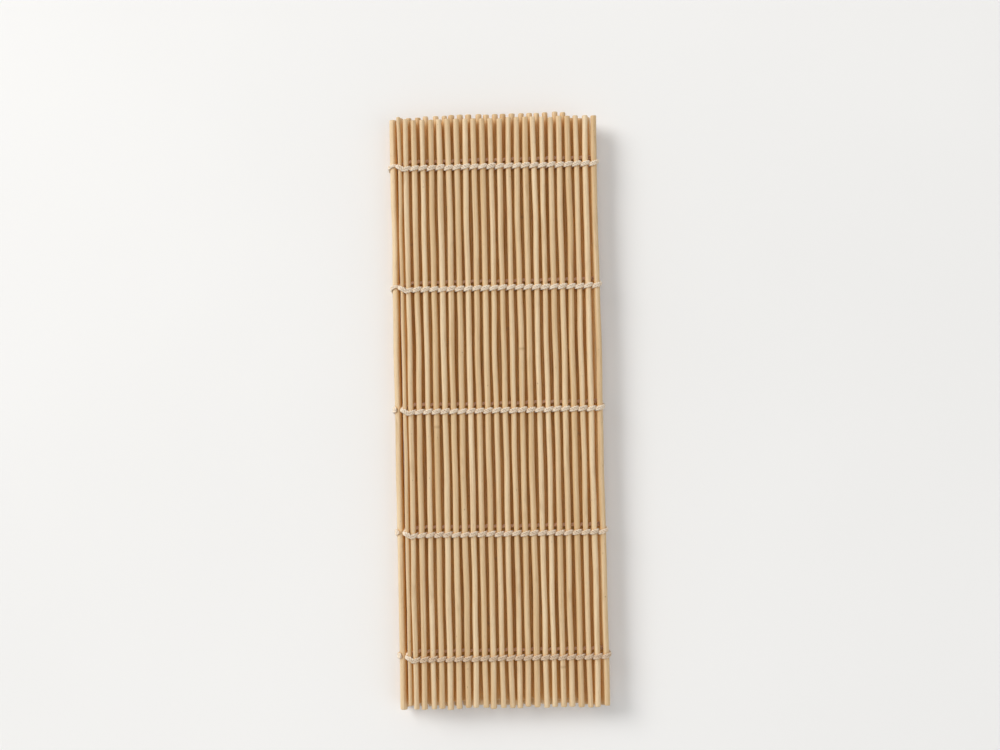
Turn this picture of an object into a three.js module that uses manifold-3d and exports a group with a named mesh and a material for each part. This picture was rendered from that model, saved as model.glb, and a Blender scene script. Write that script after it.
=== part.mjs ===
// A rolling mat of round bamboo sticks, twined together by five rows of cotton
// string and folded in three like a letter Z: base third, middle third, front third.
// Millimetres. X runs across the sticks, Y along them, Z up through the layers.
import * as THREE from "three";
import Module from "manifold-3d";

// sticks
const STICK_LEN = 240;
const STICK_R = 1.2;
const STICK_SIDES = 12;
const THIN_R = 0.88; // the thin stick at the free edge of the front third
const THIN_SHIFT = 1.1; // how far it is squeezed towards its neighbour
const THIN_UP = 1.3; // and how far up it lies
const PITCH = 3.5;
const END_JITTER = 0.45; // the sawn ends aren't quite level

// layers
const FRONT_STICKS = 24;
const MID_BOUND = [3, 2, 2, 2, 2, 2, 2, 2, 2, 2, 3]; // sticks bound side by side, left to right
const BASE_BOUND = [2, 2, 2, 3, 2, 3, 2, 2, 3];
const LAYER = 3.9; // height from one layer to the next
const Z_BASE = 2.4;
const Z_MID = Z_BASE + LAYER;
const Z_FRONT = Z_MID + LAYER;
const HALF_PITCH = PITCH / 2; // the middle and base thirds lie half a pitch over
const MID_SHIFT = 3.0; // and the middle one this far along the sticks
const MID_STICK_BACK = 0.5;
const MID_EDGE_BACK = [1.7, 0.9, 0.8, 0.7, 0.55, 0.4, 0.2]; // sticks next to the left fold lie further back
const MID_EDGE_OUT = 0.6; // and a little further out
const MID_EDGE_COUNT = 12;
const FOLD_STICK_EXTRA = 1.6; // the stick at the left fold is this much longer,
const FOLD_STICK_R = 1.38; // thicker,
const FOLD_STICK_OUT = 0.15; // and this far out
const MID_LEVEL_STICKS = 3; // those next to the right fold, level with the front
const BASE_SHIFT_X = PITCH * (FRONT_STICKS - 1) + HALF_PITCH; // first base stick, left of the last front one

// strings
const ROWS = [100, 50, 0, -50, -100];
const STRING_W = 2.4; // along the sticks
const STRING_H = 2.4; // half its height through a layer
const STRING_VALLEY = 1.75; // half its height between sticks, front third
const CREST = 0.95; // half the length of a crest over a stick
const GAP = 0.3; // room between a stick and the string round it
const END_WALL = 0.6; // string round the outside of an end stick
const LOOP_T = 0.8; // string round the right fold

// bindings between sticks of one bound group
const BIND_L = 2.0;
const BIND_H = 1.2;

const wasm = await Module();
wasm.setup();

const bamboo = new THREE.MeshStandardMaterial({ name: "bamboo", color: 0xdcbf8c, roughness: 0.6 });
const cotton = new THREE.MeshStandardMaterial({ name: "cotton", color: 0xf1ebdc, roughness: 0.95 });

function solid(geometry) {
  const g = geometry.index ? geometry.toNonIndexed() : geometry;
  const p = g.getAttribute("position").array;
  const found = new Map(), verts = [], tris = [];
  for (let i = 0; i < p.length; i += 3) {
    const key = [p[i], p[i + 1], p[i + 2]].map((v) => Math.round(v * 1e4)).join();
    if (!found.has(key)) {
      found.set(key, verts.length / 3);
      verts.push(p[i], p[i + 1], p[i + 2]);
    }
    tris.push(found.get(key));
  }
  return new wasm.Manifold(new wasm.Mesh({ numProp: 3, vertProperties: new Float32Array(verts), triVerts: new Uint32Array(tris) }));
}

function joined(geometries, cuts = []) {
  let made = wasm.Manifold.union(geometries.map(solid));
  if (cuts.length) made = made.subtract(wasm.Manifold.union(cuts.map(solid)));
  const m = made.getMesh();
  const v = new Float32Array(m.numVert * 3);
  for (let i = 0; i < m.numVert; i++) v.set(m.vertProperties.subarray(i * m.numProp, i * m.numProp + 3), i * 3);
  const g = new THREE.BufferGeometry();
  g.setAttribute("position", new THREE.BufferAttribute(v, 3));
  g.setIndex(new THREE.BufferAttribute(new Uint32Array(m.triVerts), 1));
  const flat = g.toNonIndexed();
  flat.computeVertexNormals();
  return flat;
}

function box(x0, x1, y0, y1, z0, z1) {
  return new THREE.BoxGeometry(x1 - x0, y1 - y0, z1 - z0).translate((x0 + x1) / 2, (y0 + y1) / 2, (z0 + z1) / 2);
}

function uneven(n) {
  const s = Math.sin(n * 12.9898 + 4.137) * 43758.5453;
  return 2 * (s - Math.floor(s)) - 1;
}

function stick(x, y, z, r, seed, extra = 0) {
  const len = STICK_LEN + extra + END_JITTER * uneven(seed + 0.5);
  return new THREE.CylinderGeometry(r, r, len, STICK_SIDES).translate(x, y + 0.5 * END_JITTER * uneven(seed), z);
}

// Sticks of one bound group with the bindings between them at each row.
function bound(sticks, z, rowShift) {
  const bits = sticks.map((s) => stick(s.x, s.y, z, s.r, s.seed, s.extra));
  for (let i = 1; i < sticks.length; i++)
    for (const y of ROWS)
      bits.push(box(sticks[i - 1].x + 0.8, sticks[i].x - 0.8, y + rowShift - BIND_L / 2, y + rowShift + BIND_L / 2, z - BIND_H / 2, z + BIND_H / 2));
  return joined(bits);
}

// One row of string through a layer: a strip, wavy over the sticks where crests are given.
function strip(left, right, y, z, crests) {
  const s = new THREE.Shape();
  if (crests) {
    const top = [[left, STRING_VALLEY]];
    crests.forEach((x, i) => {
      top.push([x - CREST, STRING_H], [x + CREST, STRING_H]);
      if (i + 1 < crests.length) top.push([(x + crests[i + 1]) / 2, STRING_VALLEY]);
    });
    top.push([right, STRING_VALLEY]);
    top.forEach(([x, h], i) => (i ? s.lineTo(x, z + h) : s.moveTo(x, z + h)));
    top.reverse().forEach(([x, h]) => s.lineTo(x, z - h));
  } else {
    s.moveTo(left, z - STRING_H);
    s.lineTo(right, z - STRING_H);
    s.lineTo(right, z + STRING_H);
    s.lineTo(left, z + STRING_H);
  }
  return new THREE.ExtrudeGeometry(s, { depth: STRING_W, bevelEnabled: false, steps: 1 }).rotateX(Math.PI / 2).translate(0, y + STRING_W / 2, 0);
}

// The eyes in it, one round each stick or bound group.
function eyeCuts(eyes, y, z) {
  return eyes.map(([x0, x1, h = EYE]) => box(x0, x1, y - STRING_W, y + STRING_W, z - h, z + h));
}

const EYE = STICK_R + GAP;
const made = [];
const add = (name, geometry, material) => made.push({ name, geometry, material });
const two = (n) => String(n).padStart(2, "0");

// front third: separate sticks
const frontX = [];
for (let k = 1; k <= FRONT_STICKS; k++) {
  const thin = k === 1;
  const x = -PITCH * (FRONT_STICKS - k) + (thin ? THIN_SHIFT : 0);
  frontX.push(x);
  add("stick_front_" + two(k), joined([stick(x, thin ? THIN_UP : 0, Z_FRONT, thin ? THIN_R : STICK_R, k)]), bamboo);
}

// middle third: bound groups, left to right
const midGroups = [];
{
  let j = 0;
  const total = MID_BOUND.reduce((a, b) => a + b, 0);
  for (const n of MID_BOUND) {
    const sticks = [];
    for (let i = 0; i < n; i++, j++) {
      const level = j >= total - MID_LEVEL_STICKS;
      const atFold = j === 0;
      const extra = atFold ? FOLD_STICK_EXTRA : 0;
      const r = atFold ? FOLD_STICK_R : STICK_R;
      const out = atFold ? FOLD_STICK_OUT : MID_EDGE_OUT * Math.max(0, 1 - j / MID_EDGE_COUNT) ** 2;
      const up = MID_SHIFT - MID_STICK_BACK - (MID_EDGE_BACK[j] ?? 0) - extra / 2;
      sticks.push({ x: -HALF_PITCH - PITCH * (total - 1 - j) - out, y: level ? 0 : up, r, seed: 40 + j, extra });
    }
    midGroups.push(sticks);
    const first = j - n + 1;
    add("sticks_mid_" + Array.from({ length: n }, (_, i) => two(first + i)).join("_"), bound(sticks, Z_MID, MID_SHIFT), bamboo);
  }
}

// base third: bound groups, left to right
const baseGroups = [];
{
  let j = 0;
  for (const n of BASE_BOUND) {
    const sticks = [];
    for (let i = 0; i < n; i++, j++) sticks.push({ x: -BASE_SHIFT_X + PITCH * j, y: 0, r: STICK_R, seed: 80 + j, extra: 0 });
    baseGroups.push(sticks);
    const first = j - n + 1;
    add("sticks_base_" + Array.from({ length: n }, (_, i) => two(first + i)).join("_"), bound(sticks, Z_BASE, 0), bamboo);
  }
}

const eyesOf = (groups) =>
  groups.map((g) => {
    const last = g[g.length - 1];
    return [g[0].x - g[0].r - GAP, last.x + last.r + GAP, Math.max(...g.map((s) => s.r)) + GAP];
  });
const frontEyes = [[frontX[0] - THIN_R - GAP, frontX[1] + EYE], ...frontX.slice(2).map((x) => [x - EYE, x + EYE])];
const midEyes = eyesOf(midGroups);
const baseEyes = eyesOf(baseGroups);

ROWS.forEach((y, i) => {
  const row = i + 1;
  // front third, with the loop that goes down round the right fold
  const right = frontX[frontX.length - 1] + EYE + LOOP_T;
  const midRight = midEyes[midEyes.length - 1][1] + END_WALL;
  const atMid = y + MID_SHIFT;
  add(
    "string_front_" + row,
    joined(
      [
        strip(frontEyes[0][0] - END_WALL, right, y, Z_FRONT, frontX.slice(1)),
        box(right - LOOP_T, right, y - STRING_W / 2, atMid + STRING_W / 2, Z_MID - 0.9, Z_FRONT + 1.4),
        box(midRight + GAP, right, atMid - STRING_W / 2, atMid + STRING_W / 2, Z_MID - 0.9, Z_MID + 0.9),
      ],
      eyeCuts(frontEyes, y, Z_FRONT),
    ),
    cotton,
  );
  add("string_mid_" + row, joined([strip(midEyes[0][0] - END_WALL, midRight, atMid, Z_MID)], eyeCuts(midEyes, atMid, Z_MID)), cotton);
  add("string_base_" + row, joined([strip(baseEyes[0][0] - END_WALL, baseEyes[baseEyes.length - 1][1] + END_WALL, y, Z_BASE)], eyeCuts(baseEyes, y, Z_BASE)), cotton);
});

// origin: middle of the underside
const whole = new THREE.Box3();
for (const m of made) {
  m.geometry.computeBoundingBox();
  whole.union(m.geometry.boundingBox);
}
const shift = whole.getCenter(new THREE.Vector3());
shift.z = whole.min.z;

const mat = new THREE.Group();
mat.name = "bamboo_mat";
for (const m of made) {
  const mesh = new THREE.Mesh(m.geometry.translate(-shift.x, -shift.y, -shift.z), m.material);
  mesh.name = m.name;
  mat.add(mesh);
}

export default mat;
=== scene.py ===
import math

import bpy
import numpy as np
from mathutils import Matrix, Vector


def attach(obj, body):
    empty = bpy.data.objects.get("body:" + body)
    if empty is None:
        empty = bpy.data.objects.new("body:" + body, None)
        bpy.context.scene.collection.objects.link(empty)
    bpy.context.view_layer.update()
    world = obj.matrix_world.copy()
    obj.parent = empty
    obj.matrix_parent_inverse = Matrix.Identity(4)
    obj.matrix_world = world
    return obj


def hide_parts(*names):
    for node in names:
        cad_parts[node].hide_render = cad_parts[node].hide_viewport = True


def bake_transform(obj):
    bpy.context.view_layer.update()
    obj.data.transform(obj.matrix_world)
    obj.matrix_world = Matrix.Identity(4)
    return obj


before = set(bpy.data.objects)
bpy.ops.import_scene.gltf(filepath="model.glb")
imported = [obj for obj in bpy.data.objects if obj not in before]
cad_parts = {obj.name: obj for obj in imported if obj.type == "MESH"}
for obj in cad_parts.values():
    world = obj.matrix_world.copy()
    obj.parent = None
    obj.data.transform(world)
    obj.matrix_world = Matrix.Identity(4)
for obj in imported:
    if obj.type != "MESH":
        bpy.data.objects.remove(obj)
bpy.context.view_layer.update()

scene = bpy.context.scene

# Lengths here are in millimetres, measured from the middle of the last front stick, as the
# mat was laid out; SHIFT takes them to the row frame, whose origin is the middle of the underside.
MM = 0.001
SHIFT = np.array([41.1900005, -1.0067596, 0.0])

PITCH = 3.5
STICK_R = 1.2
THIN_R = 0.88
EDGE_R = 1.38          # the stick at the left fold
Z_BASE, Z_MID, Z_FRONT = 2.4, 6.3, 10.2
ROWS = (100.0, 50.0, 0.0, -50.0, -100.0)
MID_ROW = 3.0          # the middle third's rows lie this much higher up the sticks
MID_ROW_EDGE = 1.2     # and this much at its left fold
FOLD_RIGHT = (0.875, 8.25)
FOLD_LEFT = (-84.225, 4.35)

# twine: two strands, each of three plies
WRAP = 1.75            # from a stick's middle to the middle of the strand round it
EDGE_WRAP = 1.93
SLANT = 0.47           # how far a strand moves along the stick to each side
HALF_T = 0.55          # half a strand's thickness
HALF_W, HALF_W_GAP = 1.12, 0.60
PLY_R = 0.41
PLIES = 3
PLY_TURN = 3.1         # length of one turn of the plies
STEP = 0.30
SIDES = 7


def uneven(n):
    s = math.sin(n * 12.9898 + 4.137) * 43758.5453
    return 2 * (s - math.floor(s)) - 1


# ---------------------------------------------------------------- meshes

def finish_mesh(name, verts, faces, uv, point_data, material):
    """verts in mm, faces as lists of indices, uv per corner, point_data {name: (kind, values)}."""
    me = bpy.data.meshes.new(name)
    verts = (np.asarray(verts, float) + SHIFT) * MM
    quads = [f for f in faces]
    me.from_pydata([tuple(v) for v in verts], [], quads)
    me.polygons.foreach_set("use_smooth", np.ones(len(me.polygons), bool))
    layer = me.uv_layers.new(name="OFBake")
    layer.data.foreach_set("uv", np.asarray(uv, np.float32).ravel())
    for key, (kind, values) in point_data.items():
        at = me.attributes.new(key, kind, "POINT")
        field = "vector" if kind == "FLOAT_VECTOR" else "value"
        at.data.foreach_set(field, np.asarray(values, np.float32).ravel())
    me.materials.append(material)
    me.validate()
    me.update()
    ob = bpy.data.objects.new(name, me)
    scene.collection.objects.link(ob)
    return ob


# ---------------------------------------------------------------- materials

class Nodes:
    """Small helper for building a material's nodes."""

    def __init__(self, name):
        self.material = bpy.data.materials.new(name)
        self.material.use_nodes = True
        self.tree = self.material.node_tree
        self.tree.nodes.clear()
        self.out = self.tree.nodes.new("ShaderNodeOutputMaterial")
        self.shader = self.tree.nodes.new("ShaderNodeBsdfPrincipled")
        self.tree.links.new(self.shader.outputs[0], self.out.inputs[0])

    def link(self, a, b):
        self.tree.links.new(a, b)

    def attribute(self, name, vector=False):
        n = self.tree.nodes.new("ShaderNodeAttribute")
        n.attribute_type = "GEOMETRY"
        n.attribute_name = name
        return n.outputs["Vector" if vector else "Fac"]

    def stretch(self, vector, scale):
        n = self.tree.nodes.new("ShaderNodeVectorMath")
        n.operation = "MULTIPLY"
        self.link(vector, n.inputs[0])
        n.inputs[1].default_value = scale
        return n.outputs[0]

    def noise(self, vector, detail=2.0, rough=0.5, distort=0.0):
        n = self.tree.nodes.new("ShaderNodeTexNoise")
        n.inputs["Scale"].default_value = 1.0
        n.inputs["Detail"].default_value = detail
        n.inputs["Roughness"].default_value = rough
        n.inputs["Distortion"].default_value = distort
        self.link(vector, n.inputs["Vector"])
        return n.outputs["Fac"]

    def span(self, value, lo, hi, to_lo=0.0, to_hi=1.0):
        n = self.tree.nodes.new("ShaderNodeMapRange")
        n.interpolation_type = "SMOOTHSTEP"
        self.link(value, n.inputs["Value"])
        n.inputs["From Min"].default_value = lo
        n.inputs["From Max"].default_value = hi
        n.inputs["To Min"].default_value = to_lo
        n.inputs["To Max"].default_value = to_hi
        return n.outputs["Result"]

    def math(self, kind, a, b):
        n = self.tree.nodes.new("ShaderNodeMath")
        n.operation = kind
        for socket, value in zip(n.inputs, (a, b)):
            if isinstance(value, (int, float)):
                socket.default_value = value
            else:
                self.link(value, socket)
        return n.outputs[0]

    def mix(self, factor, a, b, kind="MIX"):
        n = self.tree.nodes.new("ShaderNodeMix")
        n.data_type = "RGBA"
        n.blend_type = kind
        for socket, value in ((n.inputs[0], factor), (n.inputs[6], a), (n.inputs[7], b)):
            if isinstance(value, (int, float)):
                socket.default_value = value
            elif isinstance(value, tuple):
                socket.default_value = (*value, 1.0)
            else:
                self.link(value, socket)
        return n.outputs[2]

    def shut_in(self, reach):
        """How open the place is, 1 to 0, from ambient occlusion; it drives painted shade, golden where light would
        pass from stick to stick in the gaps.
        """
        n = self.tree.nodes.new("ShaderNodeAmbientOcclusion")
        n.samples = 3
        n.inputs["Distance"].default_value = reach
        return n.outputs["AO"]

    def bump(self, height, strength, distance):
        n = self.tree.nodes.new("ShaderNodeBump")
        n.inputs["Strength"].default_value = strength
        n.inputs["Distance"].default_value = distance
        self.link(height, n.inputs["Height"])
        self.link(n.outputs[0], self.shader.inputs["Normal"])


def bamboo_material():
    """Pale split bamboo: fibres along the stick, each stick a little lighter or darker and honey-coloured on the outer
    side of the cane, which is laid on the sides hidden in the gaps and so also serves as painted shade there,
    golden-brown painted shade where a stick is closed in, dark dashes of the cut vessels, a few brown specks and the
    scars of the joints."""
    m = Nodes("bamboo")
    grain = m.attribute("grain", True)
    tone = m.attribute("tone")
    scar = m.attribute("scar")
    cut = m.attribute("cut")
    skin_and_gap_shade = m.attribute("skin_and_gap_shade")
    drift = m.noise(m.stretch(grain, (0.5, 0.022, 0.5)), 2.0, 0.5)
    band = m.noise(m.stretch(grain, (1.6, 0.020, 1.6)), 2.0, 0.55)
    fibre = m.noise(m.stretch(grain, (6.0, 0.11, 6.0)), 3.0, 0.6)
    fine = m.noise(m.stretch(grain, (17.0, 0.35, 17.0)), 2.0, 0.5)
    dash = m.noise(m.stretch(grain, (9.0, 0.5, 9.0)), 1.0, 0.5)
    speck = m.noise(m.stretch(grain, (1.7, 0.62, 1.7)), 2.0, 0.55)
    stain = m.noise(m.stretch(grain, (0.25, 0.055, 0.25)), 2.0, 0.5)

    pale, tan = (0.824, 0.652, 0.424), (0.645, 0.440, 0.226)
    body = m.mix(m.math("ADD", m.math("MULTIPLY", tone, 0.70), m.span(drift, 0.3, 0.7, 0.0, 0.36)), pale, tan)
    body = m.mix(m.span(band, 0.52, 0.70, 0.0, 0.52), body, (0.560, 0.350, 0.160))
    body = m.mix(m.span(band, 0.46, 0.30, 0.0, 0.40), body, (0.850, 0.690, 0.470))
    body = m.mix(m.span(fibre, 0.48, 0.72, 0.0, 0.45), body, (0.540, 0.335, 0.150))
    body = m.mix(m.span(fibre, 0.46, 0.26, 0.0, 0.38), body, (0.860, 0.700, 0.480))
    body = m.mix(m.span(fine, 0.52, 0.75, 0.0, 0.28), body, (0.470, 0.275, 0.115))
    # the outer side of the cane honey-coloured: its own colour, and painted shade too, as it lies on the sides hidden
    # in the gaps
    body = m.mix(m.math("MULTIPLY", skin_and_gap_shade, 0.24), body, (1.0, 0.72, 0.30), "MULTIPLY")
    # painted shade: golden-brown darkening where a stick is closed in by its neighbours
    body = m.mix(m.math("MULTIPLY", m.span(m.shut_in(0.009), 0.56, 0.20), 0.95), body, (1.0, 0.655, 0.155), "MULTIPLY")
    body = m.mix(m.span(dash, 0.66, 0.76, 0.0, 0.50), body, (0.345, 0.180, 0.070))
    body = m.mix(m.span(stain, 0.60, 0.76, 0.0, 0.40), body, (0.430, 0.265, 0.120))
    body = m.mix(m.span(speck, 0.725, 0.79, 0.0, 0.85), body, (0.190, 0.085, 0.030))
    body = m.mix(m.math("MULTIPLY", scar, 0.50), body, (0.400, 0.225, 0.095))
    body = m.mix(m.math("MULTIPLY", cut, 0.35), body, (0.560, 0.370, 0.180))
    m.link(body, m.shader.inputs["Base Color"])
    m.link(m.span(fibre, 0.25, 0.75, 0.42, 0.66), m.shader.inputs["Roughness"])
    m.shader.inputs["Specular IOR Level"].default_value = 0.42
    m.bump(m.math("ADD", m.math("MULTIPLY", fibre, 0.7), m.math("MULTIPLY", fine, 0.3)), 0.35, 0.00012)
    return m.material


def cotton_material():
    """Thick soft cotton: warm white, the lower rows painted tan and the upper ones whiter as painted light, hairy
    along the plies, with painted shade down between them and warm painted shade where the twine is closed in.
    """
    m = Nodes("cotton")
    grain = m.attribute("grain", True)
    crevice_shade = m.attribute("crevice_shade")
    tan = m.attribute("tan")
    inner = m.attribute("inner")
    hair = m.noise(m.stretch(grain, (1.1, 7.0, 1.0)), 3.0, 0.6)
    tuft = m.noise(m.stretch(grain, (0.55, 0.8, 1.0)), 2.0, 0.5)
    body = m.mix(m.span(tuft, 0.3, 0.7), (0.920, 0.815, 0.670), (0.860, 0.725, 0.560))
    body = m.mix(m.span(hair, 0.50, 0.78, 0.0, 0.30), body, (0.680, 0.525, 0.360))
    body = m.mix(m.span(hair, 0.44, 0.22, 0.0, 0.55), body, (0.935, 0.865, 0.755))
    # the lower rows tan and the upper ones whiter: painted light
    body = m.mix(m.math("MULTIPLY", tan, 0.75), body, (0.640, 0.455, 0.290))
    openness = m.shut_in(0.009)
    # warm brown painted shade on the middle third's strands where they lie closed in between the front and middle
    # thirds
    warm_shade = m.math("MULTIPLY", inner, m.span(openness, 0.58, 0.30, 0.05, 0.95))
    body = m.mix(warm_shade, body, (0.890, 0.560, 0.330))
    # painted shade: darker and warmer wherever the twine is closed in
    body = m.mix(m.span(openness, 0.40, 0.16, 0.0, 0.60), body, (1.0, 0.70, 0.47), "MULTIPLY")
    # painted shade down between the plies
    body = m.mix(m.math("MULTIPLY", crevice_shade, 0.32), body, (0.600, 0.455, 0.320))
    m.link(body, m.shader.inputs["Base Color"])
    m.shader.inputs["Roughness"].default_value = 0.92
    m.shader.inputs["Specular IOR Level"].default_value = 0.2
    m.shader.inputs["Sheen Weight"].default_value = 0.25
    m.shader.inputs["Sheen Roughness"].default_value = 0.5
    m.bump(hair, 0.45, 0.00012)
    return m.material


def floor_material():
    m = Nodes("floor")
    where = m.tree.nodes.new("ShaderNodeTexCoord").outputs["Object"]
    cloud = m.noise(m.stretch(where, (3.0, 3.0, 3.0)), 3.0, 0.5)
    body = m.mix(m.span(cloud, 0.3, 0.7), (0.90, 0.90, 0.895), (0.93, 0.93, 0.925))
    # painted shade: greyer far off, where the key light stands close over it, evening out its pool of light
    below = m.tree.nodes.new("ShaderNodeVectorMath")
    below.operation = "DISTANCE"
    m.link(where, below.inputs[0])
    below.inputs[1].default_value = (-1.86, 1.26, 0.0)
    body = m.mix(m.span(below.outputs["Value"], 0.85, 2.0, 0.42, 0.0), body, (0.0, 0.0, 0.0))
    m.link(body, m.shader.inputs["Base Color"])
    m.shader.inputs["Roughness"].default_value = 0.9
    m.shader.inputs["Specular IOR Level"].default_value = 0.0
    return m.material


BAMBOO, COTTON, FLOOR = bamboo_material(), cotton_material(), floor_material()


# ---------------------------------------------------------------- sticks

STICK_SIDES = 16


def waves(rng, lengths, sizes):
    parts = [(2 * math.pi / l, rng.uniform(0, 2 * math.pi), s) for l, s in zip(lengths, sizes)]
    return lambda y: sum(s * np.sin(k * y + p) for k, p, s in parts)


def make_stick(name, x, y, z, r, seed, extra=0.0, skin_up=False, pale=False, tone=None):
    """One stick: a long round rod, never quite straight or quite round, with sawn ends."""
    rng = np.random.RandomState(1000 + seed)
    length = 240 + extra + 0.45 * uneven(seed + 0.5)
    mid = y + 0.225 * uneven(seed)
    half = length / 2
    r = r * (1 + 0.07 * rng.uniform(-1, 1))

    scars = []
    if rng.uniform() < 0.16:
        scars.append(rng.uniform(-105, 105))
    at = list(np.linspace(-half + 1.2, half - 1.2, 61))
    for s in scars:
        at = [a for a in at if abs(a - s) > 3.2] + [s + d for d in (-2.6, -1.6, -1.0, -0.6, -0.3, -0.1, 0.1, 0.3, 0.6, 1.0, 1.6, 2.6)]
    at = np.array(sorted(at))
    shrink = 0.20 + 0.06 * rng.uniform(-1, 1)
    at = np.concatenate([[-half, -half + 0.10, -half + 0.28], at, [half - 0.28, half - 0.10, half]])
    inset = np.zeros(len(at))
    inset[[0, -1]] = shrink
    inset[[1, -2]] = shrink * 0.42

    thick = waves(rng, (150, 67, 23), (0.018, 0.014, 0.010))
    radius = r * (1 + thick(at)) - inset
    scar = np.zeros(len(at))
    for s in scars:
        d = at - s
        radius += 0.070 * np.exp(-((d / 1.1) ** 2)) - 0.045 * np.exp(-((d / 0.25) ** 2))
        scar = np.maximum(scar, np.exp(-((d / 0.55) ** 2)))

    # between the rows a stick wanders a little, and its free ends more
    free = np.clip((np.abs(at) - 98) / 22, 0, 1) ** 1.4
    held = np.sin(np.pi * at / 50.0) ** 2 * (np.abs(at) < 100)
    bend_x, bend_z = waves(rng, (170, 90, 61), (0.17, 0.12, 0.06)), waves(rng, (190, 83), (0.07, 0.05))
    end_x = np.where(at > 0, rng.uniform(-0.42, 0.42), rng.uniform(-0.42, 0.42))
    end_z = np.where(at > 0, rng.uniform(-0.2, 0.2), rng.uniform(-0.2, 0.2))
    cx = x + held * bend_x(at) + free * end_x
    cz = z + held * bend_z(at) + free * end_z

    turn = np.arange(STICK_SIDES) / STICK_SIDES * 2 * math.pi
    p2, p3 = rng.uniform(0, 2 * math.pi, 2)
    shape = 1 + 0.026 * np.cos(2 * turn + p2) + 0.014 * np.cos(3 * turn + p3)
    ca, sa = np.cos(turn) * shape, np.sin(turn) * shape
    n, k = len(at), STICK_SIDES
    verts = np.empty((n, k, 3))
    verts[:, :, 0] = cx[:, None] + radius[:, None] * ca
    verts[:, :, 1] = mid + at[:, None]
    verts[:, :, 2] = cz[:, None] + radius[:, None] * sa
    grain = np.empty((n, k, 3))
    home = rng.uniform(0, 400, 3)
    grain[:, :, 0] = home[0] + radius[:, None] * ca
    grain[:, :, 1] = home[1] + at[:, None]
    grain[:, :, 2] = home[2] + radius[:, None] * sa
    any_tone = np.clip(0.42 + 0.34 * rng.standard_normal(), 0.0, 1.0)
    tone = np.full((n, k), any_tone if tone is None else tone)
    scar = np.repeat(scar[:, None], k, 1)
    lean = rng.uniform(-0.22, 0.22)
    facing = np.sin(turn + lean) * (1 if skin_up else -1)
    skin_and_gap_shade = np.clip((facing - 0.15) / 0.65, 0, 1)
    near_end = np.clip((half - np.abs(at) - 1.8) / 4.5, 0, 1)  # the honey tint, partly painted shade, fades towards the ends, which stand out past the gaps
    skin_and_gap_shade = (skin_and_gap_shade * skin_and_gap_shade * (3 - 2 * skin_and_gap_shade))[None] * (0.10 + 0.90 * near_end * near_end * (3 - 2 * near_end))[:, None] * (0.12 if pale else 1.0)
    cut = np.zeros((n, k))
    cut[[0, -1]] = 1.0
    cut[[1, -2]] = 0.35
    verts, grain = [verts.reshape(-1, 3)], [grain.reshape(-1, 3)]
    tone, scar, cut, skin_and_gap_shade = [tone.ravel()], [scar.ravel()], [cut.ravel()], [skin_and_gap_shade.ravel()]

    # lengths of the stick laid side by side in the map, with the two ends in a row above
    strips, gap = 6, 0.30
    round_, part = 2 * math.pi * r, length / strips
    width = strips * (round_ + gap)
    size = max(width, part + 2 * gap + 2.9)
    faces, uv = [], []
    for i in range(n - 1):
        strip = min(strips - 1, int((at[i] + half) / part + 1e-6))
        lo, hi = at[i] + half - strip * part, at[i + 1] + half - strip * part
        for j in range(k):
            j2 = (j + 1) % k
            faces.append((i * k + j, (i + 1) * k + j, (i + 1) * k + j2, i * k + j2))
            u0 = strip * (round_ + gap) + round_ * j / k
            u1 = strip * (round_ + gap) + round_ * (j + 1) / k
            uv += [(u0, lo), (u0, hi), (u1, hi), (u1, lo)]
    base = n * k
    for end, ring, sign in ((0, 0, -1), (1, n - 1, 1)):
        outer = verts[0][ring * k:(ring + 1) * k]
        centre = outer.mean(0)
        rough = 0.05 * rng.uniform(-1, 1, k)
        inner = centre + (outer - centre) * 0.55
        inner[:, 1] += sign * 0.02 + 0.5 * rough
        middle = centre + np.array([0, sign * 0.03, 0])
        verts += [outer, inner, middle[None]]
        g = grain[0][ring * k:(ring + 1) * k]
        gm = g.mean(0)
        grain += [g, gm + (g - gm) * 0.55, gm[None]]
        tone.append(np.full(2 * k + 1, tone[0][0]))
        scar.append(np.zeros(2 * k + 1))
        skin_and_gap_shade.append(np.zeros(2 * k + 1))
        cut.append(np.ones(2 * k + 1))
        at_u, at_v = 1.6 + end * 3.2, part + 2 * gap + 1.45

        def spot(j, share):
            return (at_u + share * 1.2 * math.cos(turn[j % k]), at_v + share * 1.2 * math.sin(turn[j % k]))

        for j in range(k):
            j2 = (j + 1) % k
            a, b, c, d = base + j, base + j2, base + k + j2, base + k + j
            m = base + 2 * k
            if sign > 0:
                faces += [(a, d, c, b), (d, m, c)]
                uv += [spot(j, 1), spot(j, 0.55), spot(j2, 0.55), spot(j2, 1)]
                uv += [spot(j, 0.55), (at_u, at_v), spot(j2, 0.55)]
            else:
                faces += [(a, b, c, d), (d, c, m)]
                uv += [spot(j, 1), spot(j2, 1), spot(j2, 0.55), spot(j, 0.55)]
                uv += [spot(j, 0.55), spot(j2, 0.55), (at_u, at_v)]
        base += 2 * k + 1
    return finish_mesh(
        name, np.concatenate(verts), faces, np.array(uv) / size * 0.996 + 0.002,
        {
            "grain": ("FLOAT_VECTOR", np.concatenate(grain)),
            "tone": ("FLOAT", np.concatenate(tone)),
            "scar": ("FLOAT", np.concatenate(scar)),
            "cut": ("FLOAT", np.concatenate(cut)),
            "skin_and_gap_shade": ("FLOAT", np.concatenate(skin_and_gap_shade)),
        },
        BAMBOO,
    )


def two(n):
    return str(n).zfill(2)


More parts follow.
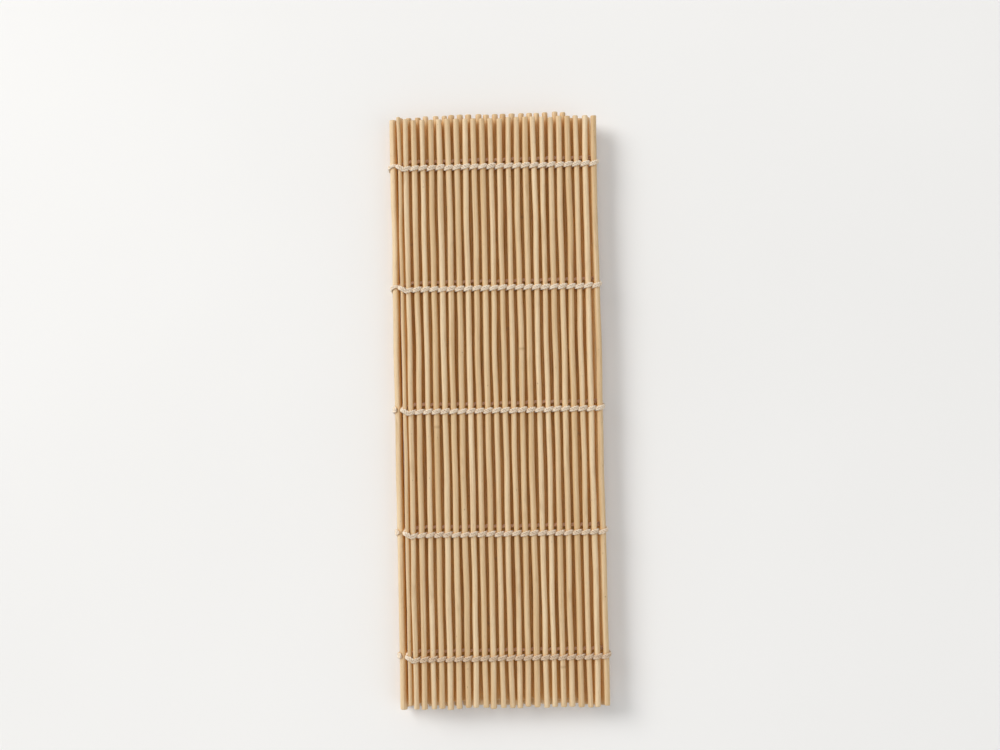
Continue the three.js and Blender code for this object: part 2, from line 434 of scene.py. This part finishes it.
front_x = [-PITCH * (24 - k) + (1.1 if k == 1 else 0.0) for k in range(1, 25)]
mid_x = [-1.75 - PITCH * (23 - j) - 0.6 * max(0.0, 1 - j / 12) ** 2 for j in range(24)]
mid_x[0] = -82.4
mid_y = [2.5] * 21 + [0.0] * 3
for j, back in enumerate((1.7 + 0.8, 0.9, 0.8, 0.7, 0.55, 0.4, 0.2)):
    mid_y[j] -= back
base_x = [-82.25 + PITCH * j for j in range(21)]

for k in range(1, 25):
    thin = k == 1
    # the last front stick is set dark tan as painted shade, where it stood in shadow; the one before it is set pale
    ob = make_stick("bamboo_front_" + two(k), front_x[k - 1], 1.3 if thin else 0.0, Z_FRONT, THIN_R if thin else STICK_R, k, tone={23: 0.05, 24: 0.95}.get(k))
    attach(ob, "front_" + two(k))
    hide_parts("stick_front_" + two(k))


def bound_sticks(layer, body, groups, xs, ys, z, seed):
    j = 0
    for n in groups:
        node = "sticks_" + layer + "_" + "_".join(two(j + 1 + i) for i in range(n))
        for _ in range(n):
            edge = layer == "mid" and j == 0
            ob = make_stick("bamboo_" + layer + "_" + two(j + 1), xs[j], ys[j], z, EDGE_R if edge else STICK_R, seed + j, 1.6 if edge else 0.0, layer == "mid", edge, 0.05 if edge else None)
            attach(ob, body)
            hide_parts(node)
            j += 1


bound_sticks("mid", "middle", [3] + [2] * 9 + [3], mid_x, mid_y, Z_MID, 40)
bound_sticks("base", "base", [2, 2, 2, 3, 2, 3, 2, 2, 3], base_x, [0.0] * 21, Z_BASE, 80)


# ---------------------------------------------------------------- twine

class Path:
    """Points of a strand's middle line, with the direction away from the stick it lies on,
    how flat it is pressed (0 to 1), how thick it is and how far it is frayed."""

    def __init__(self):
        self.p, self.n, self.flat, self.thick, self.fray = [], [], [], [], []

    def add(self, x, y, z, n, flat=0.0, thick=1.0, fray=0.0):
        self.p.append((x, y, z))
        self.n.append(n)
        self.flat.append(flat)
        self.thick.append(thick)
        self.fray.append(fray)

    def arc(self, cx, cz, r, a0, a1, y0, y1, thick=1.0):
        """Round a stick from angle a0 to a1, in degrees from straight up, clockwise."""
        steps = max(2, int(abs(a1 - a0) / 7.5))
        for i in range(steps + 1):
            t = i / steps
            a = math.radians(a0 + (a1 - a0) * t)
            n = (math.sin(a), 0.0, math.cos(a))
            self.add(cx + r * n[0], y0 + (y1 - y0) * t, cz + r * n[2], n, abs(math.cos(a)), thick)

    def cross(self, cx, cz, r, y, over, leftwards, thick=1.0, rise=0.0, press=1.0):
        """Across a stick, over or under it, slanting as it goes; rise is how slack it stands over
        it and press how flat it is pressed there."""
        steps = 24
        for i in range(steps + 1):
            t = i / steps
            a = math.radians(-90 + 180 * (1 - t if leftwards else t))
            side = 1.0 if over else -1.0
            n = (math.sin(a), 0.0, side * math.cos(a))
            up = r * math.cos(a) + (rise * math.cos(a) ** 3 if over else 0.0)
            self.add(cx + r * math.sin(a), y + side * SLANT * math.sin(a), cz + side * up, n, math.cos(a) * (press if over else 1.0), thick)

    def made(self):
        """Evenly spaced, smoothed, with frames."""
        p = np.array(self.p)
        keep = np.concatenate([[True], np.linalg.norm(np.diff(p, axis=0), axis=1) > 1e-4])
        p = p[keep]
        cols = np.c_[np.array(self.n)[keep], np.array(self.flat)[keep], np.array(self.thick)[keep], np.array(self.fray)[keep]]
        for i in range(1, len(p)):  # no flips from one side of a strand to the other
            if cols[i, :3] @ cols[i - 1, :3] < 0:
                cols[i, :3] *= -1
        s = np.concatenate([[0], np.cumsum(np.linalg.norm(np.diff(p, axis=0), axis=1))])
        count = int(s[-1] / STEP) + 1
        t = np.linspace(0, s[-1], count)
        p = np.stack([np.interp(t, s, p[:, c]) for c in range(3)], 1)
        cols = np.stack([np.interp(t, s, cols[:, c]) for c in range(6)], 1)

        def soften(a, width):
            reach = int(3 * width) + 1
            w = np.exp(-0.5 * (np.arange(-reach, reach + 1) / width) ** 2)
            w /= w.sum()
            padded = np.concatenate([np.repeat(a[:1], reach, 0), a, np.repeat(a[-1:], reach, 0)])
            return np.stack([np.convolve(padded[:, c], w, "valid") for c in range(a.shape[1])], 1)

        q = soften(p, 1.3)
        q[0], q[-1] = p[0], p[-1]
        cols = soften(cols, 2.0)
        tangent = np.gradient(q, axis=0)
        tangent /= np.linalg.norm(tangent, axis=1)[:, None]
        n = cols[:, :3] - (cols[:, :3] * tangent).sum(1)[:, None] * tangent
        n /= np.maximum(np.linalg.norm(n, axis=1), 1e-6)[:, None]
        s = np.concatenate([[0], np.cumsum(np.linalg.norm(np.diff(q, axis=0), axis=1))])
        self.q, self.N, self.B, self.T, self.s = q, n, np.cross(tangent, n), tangent, s
        self.F, self.K, self.R = cols[:, 3], cols[:, 4], cols[:, 5]
        # where a strand lies closed in between the front and middle thirds, clear of the folds: the mask for warm
        # painted shade on the twine there
        self.Z = np.clip((q[:, 2] - 7.0) / 0.6, 0, 1) * (q[:, 2] < 9.4) * np.clip((q[:, 0] - mid_x[1] + 2.0) / 1.5, 0, 1) * np.clip((mid_x[23] + 1.6 - q[:, 0]) / 1.2, 0, 1)
        turned = int(np.hypot(q[:, 0] - FOLD_RIGHT[0], q[:, 2] - FOLD_RIGHT[1]).argmin())
        self.Z[:turned] = 0.0
        return self


def mid_row(x, row):
    """Where the middle third's row lies at x: lower next to the left fold."""
    t = min(1.0, max(0.0, (x - mid_x[0]) / (mid_x[2] - mid_x[0])))
    t = t * t * (3 - 2 * t)
    return row + MID_ROW_EDGE + (MID_ROW - MID_ROW_EDGE) * t


def strand(row, first, index):
    """One strand of a row from the free edge of the front third to the knot at the end of
    the base third. The first strand goes over the even front sticks, the other over the odd."""
    path = Path()
    # row tint: the lower rows painted tan and the upper ones kept whiter, as painted light
    path.tan = (0.0, 0.0, 0.06, 0.34, 0.86)[index]
    a = SLANT
    rng = np.random.RandomState(300 + 10 * index + first)

    # the loop round the thin stick and its neighbour, which share one eye
    x1, x2, z = front_x[0], front_x[1], Z_FRONT
    wrap1 = THIN_R + HALF_T + 0.05
    if first:
        path.arc(x1, z, wrap1, -100, -20, row + 1.15, row + 0.72)
        path.add(x1 + 0.55, row + 0.15, z + wrap1 - 0.02, (0.1, 0, 1), 0.8)
        path.add(x1 + 1.05, row - 0.35, z + wrap1 + 0.08, (-0.2, 0, 1), 0.8)
        path.arc(x2, z, WRAP, -38, 90, row - 0.62, row + a)
    else:
        path.arc(x1, z, wrap1, -80, -160, row + 1.15, row + 0.95)
        path.add(x1 + 0.6, row + 0.75, z - wrap1 - 0.03, (0, 0, -1), 0.8)
        path.arc(x2, z, WRAP, -142, -270, row + 0.5, row - a)
    for k in range(3, 24):
        wobble = rng.uniform(-0.16, 0.16)
        path.cross(front_x[k - 1], z, WRAP, row + wobble, (k % 2 == 0) == bool(first), False, rng.uniform(0.92, 1.08))

    # round the right fold
    fx, fz = front_x[23], Z_FRONT
    mx, mz = mid_x[23], Z_MID
    hx, hz = FOLD_RIGHT
    between = row + MID_ROW / 2
    there = row + MID_ROW
    if first:
        path.arc(fx, fz, WRAP, -90, 0, row - a, row + 0.1)
        path.arc(fx, fz, WRAP, 0, 118, row + 0.1, row + a + 0.75)
        path.add(hx, between + a, hz, (0.85, 0, -0.5), 0.2)
        path.add(hx - 0.9, there + a - 0.2, hz + 0.05, (0.1, 0, 1.0), 0.4)
        path.arc(mx, mz, WRAP, -2, -90, there + 0.1, there - a)
    else:
        path.arc(fx, fz, WRAP, -90, -165, row + a, row + 0.2)
        path.add(hx - 0.45, row + 0.35, hz + 0.16, (0.1, 0, -1.0), 0.4)
        path.add(hx, between - a, hz, (0.9, 0, -0.2), 0.2)
        path.add(hx - 0.85, there - a - 0.1, hz - 1.1, (0.85, 0, -0.5), 0.2)
        path.arc(mx, mz, WRAP, 112, 270, there - a, there + a)
    for j in range(22, 0, -1):
        wobble = rng.uniform(-0.16, 0.16)
        # the last front stick is even and has the first strand on it, so the last middle one has it inside
        path.cross(mid_x[j], mz, WRAP, mid_row(mid_x[j], row) + wobble, (j % 2 == 1) == bool(first), True, rng.uniform(0.92, 1.08), 1.0, 0.35)

    # round the left fold; the outermost stick's upper side is bare or crossed by little
    ux, uz = mid_x[0], Z_MID
    bx, bz = base_x[0], Z_BASE
    hx, hz = FOLD_LEFT
    edge, ew = row + MID_ROW_EDGE, EDGE_WRAP
    between = row + MID_ROW_EDGE / 2
    if first:
        path.arc(ux, uz, ew, 90, 165, edge - a, edge - 0.1)
        path.add(hx + 0.6, edge, hz + 0.16, (-0.1, 0, -1.0), 0.4)
        path.add(hx, between + a, hz, (-0.9, 0, -0.2), 0.2)
        path.add(hx + 0.35, row + a, hz - 1.1, (-0.85, 0, -0.5), 0.2)
        path.arc(bx, bz, WRAP, -112, -270, row + a, row - a)
    elif index < 2:
        path.arc(ux, uz, ew - 0.06, 90, 0, edge + a, edge + 0.75, 0.72)
        path.arc(ux, uz, ew - 0.06, 0, -45, edge + 0.75, edge + 0.2, 0.75)
        path.arc(ux, uz, ew + 0.08, -45, -118, edge + 0.2, edge - 0.5, 1.15)
        path.add(hx, between - a, hz, (-0.85, 0, -0.5), 0.2)
        path.add(hx + 0.9, row - a + 0.2, hz + 0.05, (-0.1, 0, 1.0), 0.4)
        path.arc(bx, bz, WRAP, 2, 90, row - 0.1, row + a)
    else:
        path.arc(ux, uz, ew, 90, 180, edge + a, edge + 0.62)
        path.arc(ux, uz, ew + 0.02, 180, 300, edge + 0.62, edge + 0.62)
        for i in range(17):  # a plump bend on the stick's flank
            w = math.pi * i / 16
            c = math.radians(302 + 31 * math.sin(w))
            path.add(ux + (ew + 0.08) * math.sin(c), edge + 0.05 + 0.57 * math.cos(w), uz + (ew + 0.08) * math.cos(c), (math.sin(c), 0.0, math.cos(c)), 0.35, 1.12)
        path.arc(ux, uz, ew + 0.06, 300, 250, edge - 0.52, edge - 0.5)
        path.add(hx, between - a, hz, (-0.85, 0, -0.5), 0.2)
        path.add(hx + 0.9, row - a + 0.2, hz + 0.05, (-0.1, 0, 1.0), 0.4)
        path.arc(bx, bz, WRAP, 2, 90, row - 0.1, row + a)
    for j in range(1, 21):
        wobble = rng.uniform(-0.16, 0.16)
        path.cross(base_x[j], bz, WRAP, row + wobble, (j % 2 == 1) == bool(first), False, rng.uniform(0.92, 1.08))

    # the knot past the last stick, and the short tails
    kx = base_x[20] + WRAP
    if first:
        turns = 1.6
        for i in range(33):
            t = i / 32
            w = 2 * math.pi * turns * t
            r = 0.55 + 0.45 * min(1.0, 5 * t)
            path.add(kx + 0.25 + 1.5 * t, row + r * math.cos(w), bz + r * math.sin(w), (0, math.cos(w), math.sin(w)), 0.0)
        last = row + math.cos(2 * math.pi * turns)
        tail = [(2.3, last - 0.35, 1.6), (4.0, row + 0.1, 1.05), (6.0, row + 1.2, 0.80), (8.2, row + 1.7 + 0.5 * rng.uniform(-1, 1), 0.72)]
    else:
        path.add(kx + 0.5, row - 0.3, bz, (0, -0.3, -1), 0.0)
        path.add(kx + 1.2, row, bz, (0, -0.3, -1), 0.0)
        path.add(kx + 2.2, row - 0.05, bz - 0.1, (0, -0.3, -1), 0.0)
        tail = [(3.0, row - 0.6, 1.9), (4.6, row - 1.5, 1.1), (6.4, row - 2.1, 0.80), (7.6, row - 2.2 + 0.5 * rng.uniform(-1, 1), 0.72)]
    for i, (dx, ty, tz) in enumerate(tail):
        path.add(kx + dx, ty, tz, (0, 0.0, -1 if not first else 1), 0.0, 1.0, max(0.0, i - 2.0))
    return path.made()


strands = [[strand(row, first, i) for first in (1, 0)] for i, row in enumerate(ROWS)]


def nearest(path, lo, hi, point):
    """The sample between lo and hi that lies nearest to (x, z)."""
    d = np.hypot(path.q[lo:hi, 0] - point[0], path.q[lo:hi, 2] - point[1])
    return lo + int(d.argmin())


def marks(path):
    """Where the strand passes each front stick's crown, and both folds."""
    turn = nearest(path, 0, len(path.q), FOLD_RIGHT)
    found = []
    for x in front_x:
        found.append(int(np.abs(path.q[:turn, 0] - x).argmin()) if x > front_x[0] else int(np.abs(path.q[: turn // 20, 0] - x).argmin()))
    # the right-fold loop comes back under the last stick, so its crown is looked for before that
    near = np.where(np.abs(path.q[:turn, 0] - front_x[23]) < 0.2)[0]
    found[23] = int(near[np.abs(path.q[near, 0] - front_x[23]).argmin()]) if len(near) else found[23]
    second = nearest(path, turn + 20, len(path.q), FOLD_LEFT)
    return found, turn, second


def plies(path, i0, i1, seed):
    """The plies of a strand between two samples, each as rings of points, with what the
    surface reads: length along, angle round and how far down between the plies it lies, which sets painted shade
    there."""
    sl = slice(i0, i1 + 1)
    q, n, b, s = path.q[sl], path.N[sl], path.B[sl], path.s[sl]
    flat, thick, fray = path.F[sl], path.K[sl], path.R[sl]
    half_w = (HALF_W_GAP + (HALF_W - HALF_W_GAP) * flat) * thick
    half_t = HALF_T * (1 - 0.04 * flat) * np.sqrt(thick)
    ply = PLY_R * (1 - 0.45 * fray)
    made = []
    around = np.arange(SIDES) / SIDES * 2 * math.pi
    for c in range(PLIES):
        w = 2 * math.pi * (s / PLY_TURN + c / PLIES) + seed
        off_n = (half_t - PLY_R) * np.cos(w) * (1 + 1.6 * fray)
        off_b = (half_w - PLY_R) * np.sin(w) * (1 + 1.2 * fray)
        middle = q + n * off_n[:, None] + b * off_b[:, None]
        lumps = 1 + 0.05 * np.sin(s * 2.9 + 2.1 * c + seed) + 0.04 * np.sin(s * 6.7 + c)
        r = ply * lumps
        turn = around[None, :] + w[:, None]
        ring = middle[:, None] + (r[:, None] * np.cos(turn))[..., None] * n[:, None] + (r[:, None] * np.sin(turn))[..., None] * b[:, None]
        out_n, out_b = np.cos(w) / HALF_T, np.sin(w) / HALF_W
        size = np.hypot(out_n, out_b)
        facing = (np.cos(turn) * (out_n / size)[:, None] + np.sin(turn) * (out_b / size)[:, None])
        crevice_shade = np.clip(0.35 - facing, 0, 1)
        along = np.repeat(s[:, None], SIDES, 1)
        angle = np.repeat(around[None], len(s), 0)
        grain = np.stack([along + 3.0 * np.sin(angle) * 0.15 + 40 * c + 7 * seed, r[:, None] * np.cos(angle) + 5 * c, r[:, None] * np.sin(angle) + 11 * seed], -1)
        warm_shade = path.Z[sl]
        tan = np.repeat((path.tan * np.clip((q[:, 0] - front_x[0]) / 5.0, 0, 1))[:, None], SIDES, 1)
        inner = np.repeat(warm_shade[:, None], SIDES, 1)
        made.append((ring, grain, crevice_shade, s, tan, inner))
    return made


def make_twine(name, parts):
    """One piece of twine from stretches of several strands: parts are (path, first, last, seed)."""
    tubes = [t for part in parts for t in plies(*part)]
    round_, gap = 2 * math.pi * PLY_R, 0.30
    total = sum(t[3][-1] - t[3][0] for t in tubes)
    longest = max(t[3][-1] - t[3][0] for t in tubes)
    chunk = max(3.0, min(longest + 0.01, math.sqrt(total * (round_ + gap))))
    cells, verts, grain, crevice_shade, tan, inner, faces, uv_cells = 0, [], [], [], [], [], [], []
    base = 0
    per_column = max(1, int(round(math.sqrt(total * (round_ + gap)) / (chunk + gap))))
    cap_list = []
    for ring, g, d, s, row_light_tint, warm_shade in tubes:
        n = len(s)
        verts.append(ring.reshape(-1, 3))
        grain.append(g.reshape(-1, 3))
        crevice_shade.append(d.ravel())
        tan.append(row_light_tint.ravel())
        inner.append(warm_shade.ravel())
        start, cell = s[0], cells
        for i in range(n - 1):
            if s[i] - start >= chunk - 1e-6:
                start, cell = s[i], cell + 1
            for j in range(SIDES):
                j2 = (j + 1) % SIDES
                faces.append((base + i * SIDES + j, base + i * SIDES + j2, base + (i + 1) * SIDES + j2, base + (i + 1) * SIDES + j))
                u0, u1 = round_ * j / SIDES, round_ * (j + 1) / SIDES
                uv_cells.append((cell, ((u0, s[i] - start), (u1, s[i] - start), (u1, s[i + 1] - start), (u0, s[i + 1] - start))))
        cells = cell + 1
        cap_list += [(ring[0], g[0], row_light_tint[0, 0], warm_shade[0, 0], False), (ring[-1], g[-1], row_light_tint[-1, 0], warm_shade[-1, 0], True)]
        base += n * SIDES
    columns = math.ceil(cells / per_column)
    width = columns * (round_ + gap)
    height = per_column * (chunk + STEP + gap)
    uv = []
    for cell, corners in uv_cells:
        ox, oy = (cell // per_column) * (round_ + gap), (cell % per_column) * (chunk + STEP + gap)
        uv += [(ox + u, oy + v) for u, v in corners]
    # closed ends, each with its own points so the sides stay smooth
    small = 0.42
    across = max(1, int(width / (2 * small + gap)))
    for c, (ring, g, row_light_tint, warm_shade, last) in enumerate(cap_list):
        verts += [ring, ring.mean(0)[None]]
        grain += [g, g.mean(0)[None]]
        crevice_shade += [np.full(SIDES + 1, 0.2)]
        tan += [np.full(SIDES + 1, row_light_tint)]
        inner += [np.full(SIDES + 1, warm_shade)]
        ox = (c % across) * (2 * small + gap) + small
        oy = height + (c // across) * (2 * small + gap) + small
        place = [(ox + small * math.cos(2 * math.pi * j / SIDES), oy + small * math.sin(2 * math.pi * j / SIDES)) for j in range(SIDES)]
        for j in range(SIDES):
            j2 = (j + 1) % SIDES
            if last:
                faces.append((base + j, base + j2, base + SIDES))
                uv += [place[j], place[j2], (ox, oy)]
            else:
                faces.append((base + j, base + SIDES, base + j2))
                uv += [place[j], (ox, oy), place[j2]]
        base += SIDES + 1
    height += math.ceil(len(cap_list) / across) * (2 * small + gap)
    uv = np.array(uv) / max(width, height) * 0.996 + 0.002
    ob = finish_mesh(
        name, np.concatenate(verts), faces, uv,
        {"grain": ("FLOAT_VECTOR", np.concatenate(grain)), "crevice_shade": ("FLOAT", np.concatenate(crevice_shade)), "tan": ("FLOAT", np.concatenate(tan)), "inner": ("FLOAT", np.concatenate(inner))},
        COTTON,
    )
    return ob


places = [[marks(p) for p in pair] for pair in strands]


def stretches(pick):
    out = []
    for i, pair in enumerate(strands):
        for f, path in enumerate(pair):
            lo, hi = pick(places[i][f], path)
            out.append((path, lo, hi, 0.9 * i + 2.3 * f))
    return out


def at(x, z, y=0.0):
    return tuple((np.array([x, y, z]) + SHIFT) * MM)


# the loop at the free edge
ob = make_twine("twine_front_edge", stretches(lambda m, p: (0, m[0][0])))
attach(ob, "front_01")

# from crown to crown across each gap of the front third
for k in range(1, 24):
    ob = make_twine("twine_front_" + two(k), stretches(lambda m, p: (m[0][k - 1], m[0][k])))
    "front_" + two(k + 1)
    "front_" + two(k)
    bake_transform(ob)

# round the last front stick to the right fold
ob = make_twine("twine_front_fold", stretches(lambda m, p: (m[0][23], m[1])))
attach(ob, "front_24")
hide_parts(*["string_front_" + str(i) for i in range(1, 6)])

# the rows of the middle and base thirds
for i, pair in enumerate(strands):
    part = [(path, places[i][f][1], places[i][f][2], 0.9 * i + 2.3 * f) for f, path in enumerate(pair)]
    ob = make_twine("twine_mid_" + str(i + 1), part)
    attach(ob, "middle")
    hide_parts("string_mid_" + str(i + 1))
    part = [(path, places[i][f][2], len(path.q) - 1, 0.9 * i + 2.3 * f) for f, path in enumerate(pair)]
    ob = make_twine("twine_base_" + str(i + 1), part)
    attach(ob, "base")
    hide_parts("string_base_" + str(i + 1))


# ---------------------------------------------------------------- floor, light and camera

me = bpy.data.meshes.new("floor")
rings, sides = (0.3, 0.7, 1.2, 1.7, 2.2), 96
ring = [(math.cos(2 * math.pi * i / sides), math.sin(2 * math.pi * i / sides)) for i in range(sides)]
me.from_pydata(
    [(0.0, 0.0, -0.00002)] + [(r * c, r * s, -0.00002) for r in rings for c, s in ring], [],
    [(0, 1 + i, 1 + (i + 1) % sides) for i in range(sides)]
    + [(1 + j * sides + i, 1 + (j + 1) * sides + i, 1 + (j + 1) * sides + (i + 1) % sides, 1 + j * sides + (i + 1) % sides) for j in range(len(rings) - 1) for i in range(sides)],
)
me.materials.append(FLOOR)
floor = bpy.data.objects.new("floor", me)
scene.collection.objects.link(floor)


def area_light(name, place, aim, size, power, colour):
    data = bpy.data.lights.new(name, "AREA")
    data.shape = "RECTANGLE"
    data.size, data.size_y = size
    data.energy = power
    data.color = colour
    ob = bpy.data.objects.new(name, data)
    scene.collection.objects.link(ob)
    ob.location = place
    ob.rotation_euler = (Vector(aim) - Vector(place)).to_track_quat("-Z", "Y").to_euler()
    return ob


area_light("key", (-1.86, 1.26, 1.86), (0, 0, 0), (1.5, 1.5), 56.7, (1.0, 0.98, 0.95))
area_light("top", (0.18, 0.30, 3.30), (0, 0, 0), (1.05, 1.05), 16.2, (1.0, 0.985, 0.96))
area_light("fill", (2.25, -1.05, 2.25), (0, 0, 0), (2.4, 2.4), 18.0, (0.98, 0.99, 1.0))

world = bpy.data.worlds.new("studio")
world.use_nodes = True
# a pale room: light near the horizon, dimmer overhead
sky = world.node_tree.nodes
look = sky.new("ShaderNodeTexCoord")
apart = sky.new("ShaderNodeSeparateXYZ")
both = sky.new("ShaderNodeMath")
both.operation = "MULTIPLY"
world.node_tree.links.new(look.outputs["Generated"], apart.inputs[0])
for i, values in enumerate(((-0.07, 0.10, 0.75, 0.86), (0.18, 0.50, 1.0, 0.314))):
    ramp = sky.new("ShaderNodeMapRange")
    ramp.interpolation_type = "SMOOTHSTEP"
    for key, value in zip(("From Min", "From Max", "To Min", "To Max"), values):
        ramp.inputs[key].default_value = value
    world.node_tree.links.new(apart.outputs["Z"], ramp.inputs["Value"])
    world.node_tree.links.new(ramp.outputs["Result"], both.inputs[i])
world.node_tree.links.new(both.outputs[0], sky["Background"].inputs["Strength"])
sky["Background"].inputs["Color"].default_value = (1.0, 1.0, 1.0, 1.0)
scene.world = world
scene.view_settings.view_transform = "Standard"

lens = bpy.data.cameras.new("camera")
lens.sensor_width = 36.0
lens.lens = 36.0 * 1463.4 / 1000.0
lens.clip_start, lens.clip_end = 0.01, 20.0
camera = bpy.data.objects.new("camera", lens)
scene.collection.objects.link(camera)
camera.location = (0.016886, -0.012093, 0.605818)
camera.rotation_euler = tuple(math.radians(v) for v in (2.4151, 1.5937, -1.2900))
scene.camera = camera

bpy.context.view_layer.update()
